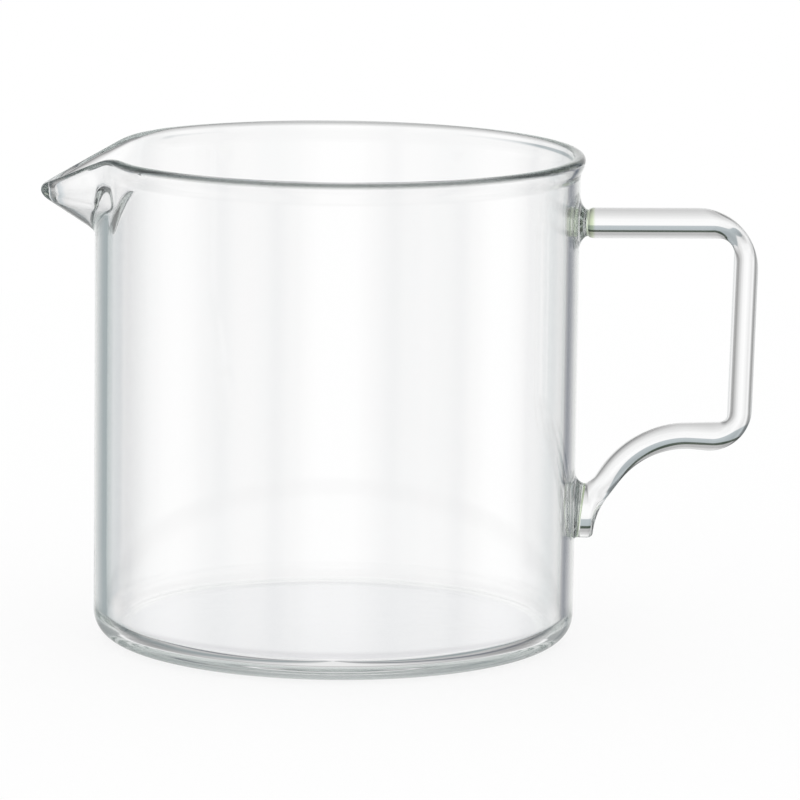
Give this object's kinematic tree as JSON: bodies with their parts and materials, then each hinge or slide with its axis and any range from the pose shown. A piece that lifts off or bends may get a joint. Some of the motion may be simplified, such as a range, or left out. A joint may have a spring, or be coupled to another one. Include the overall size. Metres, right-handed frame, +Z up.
{
  "type": "coffee server carafe",
  "caption": "Clear glass cylindrical coffee server with a pinched pouring spout opposite a bent glass rod handle.",
  "frame": {"origin": "centre of the base's underside, on the vessel's axis", "axes": "+Z up along the vessel's axis, +X towards the handle, -X towards the spout's tip"},
  "size_m": [0.1261, 0.0866, 0.0863],
  "materials": {
    "vessel_glass": "clear blown borosilicate glass, fire-polished",
    "rod_glass": "clear solid borosilicate rod",
    "joint_glass": "clear fused glass, faintly green where it is thick"
  },
  "bodies": {
    "root": {"vessel": "vessel_glass", "handle": "rod_glass", "upper_joint": "joint_glass", "lower_joint": "joint_glass"}
  },
  "joints": []
}
